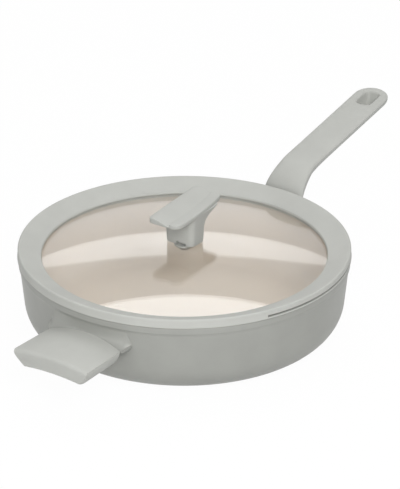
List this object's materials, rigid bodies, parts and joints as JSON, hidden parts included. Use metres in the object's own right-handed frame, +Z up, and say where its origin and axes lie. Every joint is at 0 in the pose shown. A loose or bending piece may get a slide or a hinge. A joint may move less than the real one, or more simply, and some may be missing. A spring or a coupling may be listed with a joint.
{
  "type": "saute pan with lid",
  "caption": "Wide saute pan with a sloping long handle, a helper handle and a domed glass lid whose soft ring has two pour slots; the lid lifts off and turns.",
  "frame": {"origin": "centre of the base, on the plane that the pan stands on", "axes": "+Z up; +X runs out along the long handle; the helper handle is at -X; the lid's pour slots face -Y and +Y at rest"},
  "size_m": [0.5074, 0.2926, 0.1169],
  "materials": {
    "bowl_finish": "satin grey enamel outside, cream ceramic coating inside",
    "disc_steel": "turned in fine circles",
    "bracket_finish": "satin grey enamel",
    "handle_grey": "soft-touch matt grey",
    "fixing_steel": "bright",
    "clear_glass": "clear, polished",
    "ring_silicone": "matt grey silicone",
    "insert_brass": "plain",
    "seal_silicone": "translucent grey silicone"
  },
  "bodies": {
    "pan": {"pan_body": "bowl_finish", "base_disc": "disc_steel", "long_handle_bracket": "bracket_finish", "long_handle": "handle_grey", "long_handle_screw": "fixing_steel", "long_handle_washer": "fixing_steel", "helper_bracket": "bracket_finish", "helper_handle": "handle_grey", "helper_screw": "fixing_steel", "helper_washer": "fixing_steel"},
    "lid_core": {"knob_screw": "fixing_steel", "knob_washer": "fixing_steel", "knob_gasket_upper": "seal_silicone", "knob_gasket_lower": "seal_silicone"},
    "lid": {"lid_glass": "clear_glass", "lid_ring": "ring_silicone", "knob": "handle_grey", "knob_insert": "insert_brass"}
  },
  "joints": [
    {"name": "lid_lift", "type": "slide", "parent": "pan", "child": "lid_core", "axis": [0, 0, 1], "range_m": [0, 0.12]},
    {"name": "lid_turn", "type": "hinge", "parent": "lid_core", "child": "lid", "pos_m": [0, 0, 0.082], "axis": [0, 0, 1], "continuous": true}
  ]
}
